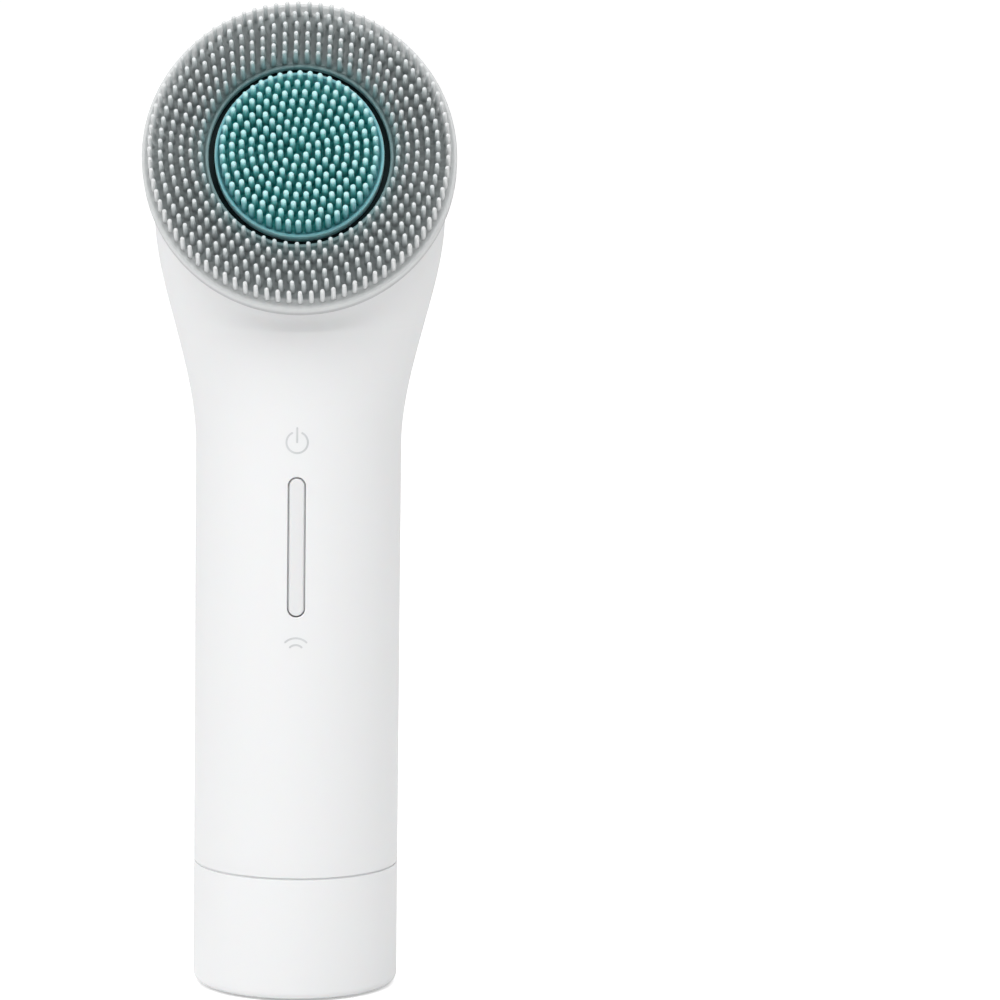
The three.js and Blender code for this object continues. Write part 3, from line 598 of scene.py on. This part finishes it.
# ---- Materials ----
class Shader:
    """A material under construction, with short calls for the nodes used here."""

    def __init__(self, name, colour, roughness, metallic=0.0):
        self.material = bpy.data.materials.new(name)
        self.material.use_nodes = True
        self.material.diffuse_color = (*colour, 1)
        self.nodes = self.material.node_tree.nodes
        self.links = self.material.node_tree.links
        self.surface = self.nodes["Principled BSDF"]
        self.surface.inputs["Base Color"].default_value = (*colour, 1)
        self.surface.inputs["Roughness"].default_value = roughness
        self.surface.inputs["Metallic"].default_value = metallic
        self.place = self.nodes.new("ShaderNodeTexCoord").outputs["Object"]

    def set(self, **values):
        for key, value in values.items():
            self.surface.inputs[key.replace("_", " ")].default_value = value
        return self

    def noise(self, scale, detail=3.0, stretch=None):
        node = self.nodes.new("ShaderNodeTexNoise")
        node.inputs["Scale"].default_value = scale
        node.inputs["Detail"].default_value = detail
        place = self.place
        if stretch:
            mapping = self.nodes.new("ShaderNodeMapping")
            mapping.inputs["Scale"].default_value = stretch
            self.links.new(place, mapping.inputs["Vector"])
            place = mapping.outputs["Vector"]
        self.links.new(place, node.inputs["Vector"])
        return node.outputs["Fac"]

    def ramp(self, value, stops):
        node = self.nodes.new("ShaderNodeValToRGB")
        elements = node.color_ramp.elements
        while len(elements) < len(stops):
            elements.new(0.5)
        for element, (position, colour) in zip(elements, stops):
            element.position = position
            element.color = (*colour, 1)
        self.links.new(value, node.inputs["Fac"])
        return node.outputs["Color"]

    def remap(self, value, low, high):
        node = self.nodes.new("ShaderNodeMapRange")
        node.inputs["To Min"].default_value = low
        node.inputs["To Max"].default_value = high
        self.links.new(value, node.inputs["Value"])
        return node.outputs["Result"]

    def drive(self, name, value):
        self.links.new(value, self.surface.inputs[name])
        return self

    def bump(self, height, strength, distance=0.05 * MM):
        node = self.nodes.new("ShaderNodeBump")
        node.inputs["Strength"].default_value = strength
        node.inputs["Distance"].default_value = distance
        self.links.new(height, node.inputs["Height"])
        self.links.new(node.outputs["Normal"], self.surface.inputs["Normal"])
        return self

    def vector_math(self, operation, first, second):
        node = self.nodes.new("ShaderNodeVectorMath")
        node.operation = operation
        self.links.new(first, node.inputs[0])
        node.inputs[1].default_value = second
        return node.outputs["Value" if operation == "DOT_PRODUCT" else "Vector"]

    def share(self, value, low, high):
        """0 to 1 as the value goes from low to high."""
        node = self.nodes.new("ShaderNodeMapRange")
        node.inputs["From Min"].default_value = low
        node.inputs["From Max"].default_value = high
        self.links.new(value, node.inputs["Value"])
        return node.outputs["Result"]

    def height_on_head(self, low, high):
        """0 to 1 along the brushes' axis between two heights above the shell's rim."""
        away = self.vector_math("SUBTRACT", self.place, HEAD)
        return self.share(self.vector_math("DOT_PRODUCT", away, AXIS), low, high)

    def radius_on_head(self, low, high):
        """0 to 1 between two distances from the brushes' axis."""
        away = self.vector_math("SUBTRACT", self.place, HEAD)
        node = self.nodes.new("ShaderNodeVectorMath")
        node.operation = "CROSS_PRODUCT"
        self.links.new(away, node.inputs[0])
        node.inputs[1].default_value = AXIS
        length = self.nodes.new("ShaderNodeVectorMath")
        length.operation = "LENGTH"
        self.links.new(node.outputs["Vector"], length.inputs[0])
        return self.share(length.outputs["Value"], low, high)

    def blend(self, share, first, second):
        """The first colour where share is 0 and the second, a plain one, where it is 1."""
        node = self.nodes.new("ShaderNodeMix")
        node.data_type = "RGBA"
        start, end = [socket for socket in node.inputs if socket.type == "RGBA"]
        self.links.new(share, node.inputs[0])
        self.links.new(first, start)
        end.default_value = (*second, 1)
        return next(socket for socket in node.outputs if socket.type == "RGBA")


def moulded_white(name, colour, roughness):
    """Satin white moulding: faint mottle in the gloss and a fine spark-eroded grain."""
    shader = Shader(name, colour, roughness)
    shader.set(Coat_Weight=0.2, Coat_Roughness=0.18)
    shader.set(Subsurface_Weight=0.06, Subsurface_Scale=1.2 * MM)
    shader.drive("Roughness", shader.remap(shader.noise(140), roughness - 0.05, roughness + 0.05))
    shader.bump(shader.noise(5200, 2), 0.05)
    return shader.material


def silicone(name, stops, zones, scatter):
    """Soft translucent silicone, with painted shade darkening the roots of the bristles and painted light paling
    their tips.

    Each zone is (what is measured, its span in millimetres, how strong it gets, its tone).
    """
    shader = Shader(name, stops[-1][1], 0.36)
    # the colour ramp from root to tip: painted shade at the roots, painted light at the tips
    colour = shader.ramp(shader.height_on_head(FACE, TIPS), stops)
    measures = {"radius": shader.radius_on_head, "height": shader.height_on_head}
    for measure, (start, end), amount, tone in zones:
        share = measures[measure](start * MM, end * MM)
        colour = shader.blend(shader.remap(share, 0, amount), colour, tone)
    shader.drive("Base Color", colour)
    shader.set(Subsurface_Weight=0.35, Subsurface_Scale=0.6 * MM, Subsurface_Radius=scatter)
    shader.set(Specular_IOR_Level=0.45, Sheen_Weight=0.05)
    shader.drive("Roughness", shader.remap(shader.noise(700), 0.3, 0.44))
    shader.bump(shader.noise(2600, 2), 0.06)
    return shader.material


def plain_plastic(name, colour, roughness, gloss=0.5):
    shader = Shader(name, colour, roughness)
    shader.set(Specular_IOR_Level=gloss)
    darker = tuple(0.86 * c for c in colour)
    shader.drive("Base Color", shader.ramp(shader.noise(220), [(0.3, darker), (0.7, colour)]))
    shader.drive("Roughness", shader.remap(shader.noise(500), roughness - 0.08, roughness + 0.08))
    shader.bump(shader.noise(3800, 2), 0.12)
    return shader.material


def brushed_metal(name, colour, roughness):
    shader = Shader(name, colour, roughness, 1.0)
    grain = shader.noise(900, 4, (1, 1, 14))
    shader.drive("Roughness", shader.remap(grain, roughness - 0.1, roughness + 0.12))
    shader.bump(grain, 0.12, 0.02 * MM)
    return shader.material


def rubber(name, colour):
    shader = Shader(name, colour, 0.7)
    dusty = tuple(min(1, c + 0.03) for c in colour)
    shader.drive("Base Color", shader.ramp(shader.noise(400), [(0.35, colour), (0.75, dusty)]))
    shader.bump(shader.noise(3000, 3), 0.2)
    return shader.material


def circuit_board(name):
    """Green solder mask with a fine pattern of tracks under it."""
    shader = Shader(name, (0.03, 0.20, 0.08), 0.35)
    tracks = shader.nodes.new("ShaderNodeTexBrick")
    tracks.inputs["Scale"].default_value = 260
    tracks.inputs["Color1"].default_value = (0.03, 0.20, 0.08, 1)
    tracks.inputs["Color2"].default_value = (0.03, 0.22, 0.09, 1)
    tracks.inputs["Mortar"].default_value = (0.07, 0.32, 0.14, 1)
    shader.links.new(shader.place, tracks.inputs["Vector"])
    shader.drive("Base Color", tracks.outputs["Color"])
    shader.set(Coat_Weight=0.4)
    shader.bump(tracks.outputs["Fac"], 0.1)
    return shader.material


def stage_white(name):
    """A pale floor that glows a little to the camera, so that it fades into white."""
    shader = Shader(name, (0.93, 0.93, 0.93), 0.9)
    shader.drive("Roughness", shader.remap(shader.noise(3), 0.85, 0.95))
    shader.set(Specular_IOR_Level=0.1)
    seen = shader.nodes.new("ShaderNodeLightPath").outputs["Is Camera Ray"]
    shader.drive("Emission Strength", shader.remap(seen, 0.0, 0.4))
    shader.surface.inputs["Emission Color"].default_value = (1, 1, 1, 1)
    return shader.material


# Spans, in millimetres, over which a pad's tone changes
# towards the hole: painted teal reflection of the disc
HOLE_PAINTED_REFLECTION = (18.2, 15.6)
RING_RIM = (25, 25.4)
# down the skirt: painted shade
SKIRT_PAINTED_SHADE = (1.6, 0.2)
DISC_RIM = (13.2, 13.9)
# the disc's outer wall: painted glow
DISC_WALL_PAINTED_GLOW = (14.4, 14.55)

MATERIALS = {
    "shell_white": moulded_white("shell_white", (0.86, 0.865, 0.87), 0.34),
    "key_white": moulded_white("key_white", (0.80, 0.805, 0.81), 0.38),
    "dark_plastic": plain_plastic("dark_plastic", (0.011, 0.037, 0.040), 0.5, 0.2),
    "grey_silicone": silicone(
        "grey_silicone",
        # root to tip: painted shade between the bristles' roots, painted light on their tips
        [(0.0, (0.34, 0.37, 0.372)), (0.08, (0.34, 0.37, 0.372)), (0.5, (0.69, 0.725, 0.73)),
         (0.93, (0.755, 0.79, 0.795))],
        [
            # towards the hole: painted teal reflection of the disc on the grey ring
            ("radius", HOLE_PAINTED_REFLECTION, 0.6, (0.24, 0.44, 0.45)),
            ("radius", RING_RIM, 0.8, (0.76, 0.77, 0.77)),
            # painted shade under the lip, darkening the skirt towards its bottom edge
            ("height", SKIRT_PAINTED_SHADE, 1, (0.46, 0.465, 0.47)),
        ],
        (1.0, 1.0, 1.0)),
    "teal_silicone": silicone(
        "teal_silicone",
        # root to tip: painted shade between the bristles' roots, painted light on their tips
        [(0.0, (0.04, 0.41, 0.405)), (0.06, (0.04, 0.41, 0.405)), (0.45, (0.24, 0.72, 0.71)),
         (0.93, (0.55, 0.84, 0.85))],
        [
            ("radius", DISC_RIM, 1, (0.30, 0.66, 0.72)),
            # painted glow of light through the disc's translucent outer wall
            ("radius", DISC_WALL_PAINTED_GLOW, 1, (0.55, 0.95, 1.0)),
        ],
        (0.4, 1.0, 0.9)),
    "black_rubber": rubber("black_rubber", (0.02, 0.022, 0.024)),
    "foot_rubber": rubber("foot_rubber", (0.33, 0.34, 0.35)),
    "natural_plastic": plain_plastic("natural_plastic", (0.62, 0.60, 0.55), 0.5),
    "gear_plastic": plain_plastic("gear_plastic", (0.78, 0.74, 0.63), 0.4),
    "steel": brushed_metal("steel", (0.60, 0.61, 0.63), 0.32),
    "bronze": brushed_metal("bronze", (0.58, 0.40, 0.20), 0.42),
    "board_green": circuit_board("board_green"),
    "cell_wrap": plain_plastic("cell_wrap", (0.05, 0.17, 0.40), 0.3),
    "red_wire": plain_plastic("red_wire", (0.45, 0.02, 0.015), 0.45),
    "black_wire": plain_plastic("black_wire", (0.015, 0.015, 0.016), 0.45),
    "mark_grey": plain_plastic("mark_grey", (0.68, 0.69, 0.70), 0.5),
}


def finish(piece, material):
    piece.data.materials.clear()
    piece.data.materials.append(MATERIALS[material])
    return piece


def dress(piece, body, nodes, slot, material=None):
    """Gives a new piece its material, that of its slot in the record unless another is named, and its body, and
    hides the CAD nodes it stands for.
    """
    finish(piece, material or slot)
    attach(piece, body)
    if nodes:
        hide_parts(*nodes)


def dress_cad_nodes():
    slots = {entry["node"]: entry["material_slot"] for entry in frame["record"]["subparts"]}
    for name, piece in frame["nodes"].items():
        finish(piece, slots[name])


# ---- Pieces ----
dress_cad_nodes()
dress(main_shell(), "handle", ["main_shell"], "shell_white")
dress(rocker_key(), "key", ["rocker_key"], "key_white")
dress(base_cap(), "foot_cap", ["base_cap"], "shell_white")
dress(foot_pad(), "foot_cap", ["foot_pad"], "grey_silicone", "foot_rubber")
dress(ring_pad(), "outer_brush", ["ring_pad"], "grey_silicone")
dress(ring_cup(), "outer_brush", ["ring_carrier"], "dark_plastic")
dress(disc_pad(), "inner_brush", ["disc_pad"], "teal_silicone")
dress(disc_cup(), "inner_brush", ["disc_carrier"], "dark_plastic")
for mark in power_mark() + wave_mark():
    dress(mark, "handle", [], "dark_plastic", "mark_grey")


# ---- Stage ----
SKY_LEFT = 0.84
SKY_RIGHT = 0.32
SKY_BEHIND = 0.85


def floor():
    half = 6.0
    corners = [(-half, -half, 0), (half, -half, 0), (half, half, 0), (-half, half, 0)]
    piece = make_object("floor", [(x, y, -0.02 * MM) for x, y, _ in corners], [(0, 1, 2, 3)])
    piece.data.materials.append(stage_white("stage_white"))


def sky():
    """Soft white light from all round: weaker from the right, stronger from behind the brush.

    The camera itself sees it as plain white.
    """
    world = bpy.data.worlds.new("studio")
    bpy.context.scene.world = world
    world.use_nodes = True
    nodes, links = world.node_tree.nodes, world.node_tree.links
    direction = nodes.new("ShaderNodeTexCoord").outputs["Generated"]
    across = nodes.new("ShaderNodeSeparateXYZ")
    links.new(direction, across.inputs["Vector"])

    def graded(axis, low, at_low, at_high):
        node = nodes.new("ShaderNodeMapRange")
        node.inputs["From Min"].default_value = low
        node.inputs["To Min"].default_value = at_low
        node.inputs["To Max"].default_value = at_high
        links.new(across.outputs[axis], node.inputs["Value"])
        return node.outputs["Result"]

    def combined(operation, first, second):
        node = nodes.new("ShaderNodeMath")
        node.operation = operation
        links.new(first, node.inputs[0])
        links.new(second, node.inputs[1])
        return node.outputs["Value"]

    total = combined("ADD", graded("X", -1, SKY_LEFT, SKY_RIGHT), graded("Y", 0.5, 0, SKY_BEHIND))
    seen = nodes.new("ShaderNodeLightPath").outputs["Is Camera Ray"]
    links.new(combined("MAXIMUM", total, seen), nodes["Background"].inputs["Strength"])
    nodes["Background"].inputs["Color"].default_value = (1, 1, 1, 1)


def softbox(name, place, target, size, power):
    light = bpy.data.lights.new(name, "AREA")
    light.shape = "RECTANGLE"
    light.size, light.size_y = size
    light.energy = power
    lamp = bpy.data.objects.new(name, light)
    lamp.location = place
    lamp.rotation_euler = (Vector(target) - Vector(place)).to_track_quat("-Z", "Y").to_euler()
    bpy.context.scene.collection.objects.link(lamp)


def camera():
    """A long lens a little above the brush, turned so that the brush stands left of the middle."""
    distance = 1.157
    azimuth = Matrix.Rotation(math.radians(0.8), 4, "Z")
    rise = math.radians(8.87)
    turn = math.radians(1.754)
    roll = math.radians(0.405)
    target = Vector((0, 0, 86.4 * MM))
    data = bpy.data.cameras.new("camera")
    data.sensor_width = 36
    data.lens = 237.2
    data.clip_start = 0.01
    data.clip_end = 50
    view = bpy.data.objects.new("camera", data)
    bpy.context.scene.collection.objects.link(view)
    view.location = target + azimuth @ Vector((0, -math.cos(rise), math.sin(rise))) * distance
    look = Matrix.Rotation(math.pi / 2 - rise, 4, "X")
    sideways = Matrix.Rotation(-turn, 4, Vector((0, math.sin(rise), math.cos(rise))))
    view.rotation_euler = (azimuth @ sideways @ look @ Matrix.Rotation(roll, 4, "Z")).to_euler()
    bpy.context.scene.camera = view


floor()
sky()
middle = (0, 0, 90 * MM)
softbox("key_light", (-0.75, -0.6, 1.45), middle, (0.9, 0.9), 5.2)
softbox("front_light", (0.3, -0.95, 1.45), middle, (0.9, 0.9), 11.0)
camera()
bpy.context.scene.view_settings.view_transform = "Standard"
